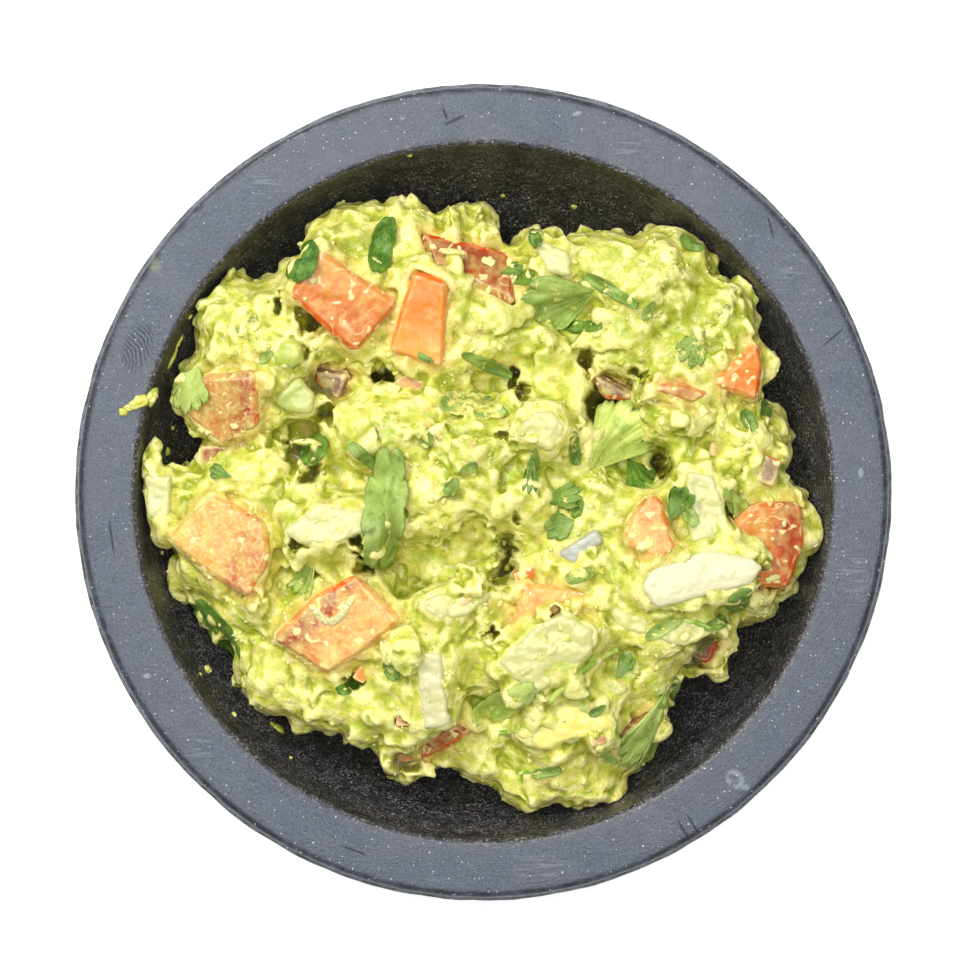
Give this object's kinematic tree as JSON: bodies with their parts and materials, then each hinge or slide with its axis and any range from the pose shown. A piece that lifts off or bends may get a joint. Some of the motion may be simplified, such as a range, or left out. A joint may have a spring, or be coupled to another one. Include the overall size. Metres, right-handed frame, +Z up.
{
  "type": "guacamole in a bowl",
  "caption": "Chunky guacamole with diced tomato, cut onion and coriander leaves, heaped in a round black bowl with a thick flat rim.",
  "frame": {"origin": "middle of the bowl's foot, on the face it stands on", "axes": "+Z up; +Y towards the back of the bowl, where the two large tomato pieces and the bare wall behind them lie"},
  "size_m": [0.127, 0.127, 0.06],
  "materials": {
    "bowl_plastic": "satin black moulded plastic, scratched and speckled from use",
    "mashed_avocado": "wet, curdy mash, pale yellow-green with darker green streaks",
    "firm_avocado": "smooth, wet yellow-green flesh",
    "tomato": "wet cut tomato, orange-red, smeared with mash",
    "onion": "wet, slightly clear white onion",
    "coriander": "soft green leaf with fine veins"
  },
  "bodies": {
    "root": {"avocado_1": "firm_avocado", "avocado_2": "firm_avocado", "bowl": "bowl_plastic", "guacamole": "mashed_avocado", "onion_1": "onion", "onion_2": "onion", "onion_3": "onion", "onion_4": "onion", "onion_5": "onion", "onion_6": "onion", "onion_7": "onion", "onion_8": "onion", "onion_9": "onion", "onion_10": "onion", "onion_11": "onion", "onion_12": "onion", "onion_13": "onion", "onion_14": "onion", "tomato_1": "tomato", "tomato_2": "tomato", "tomato_3": "tomato", "tomato_4": "tomato", "tomato_5": "tomato", "tomato_6": "tomato", "tomato_7": "tomato", "tomato_8": "tomato", "tomato_9": "tomato", "tomato_10": "tomato", "tomato_11": "tomato", "tomato_12": "tomato", "tomato_13": "tomato", "tomato_14": "tomato", "tomato_15": "tomato", "tomato_16": "tomato"}
  },
  "joints": []
}
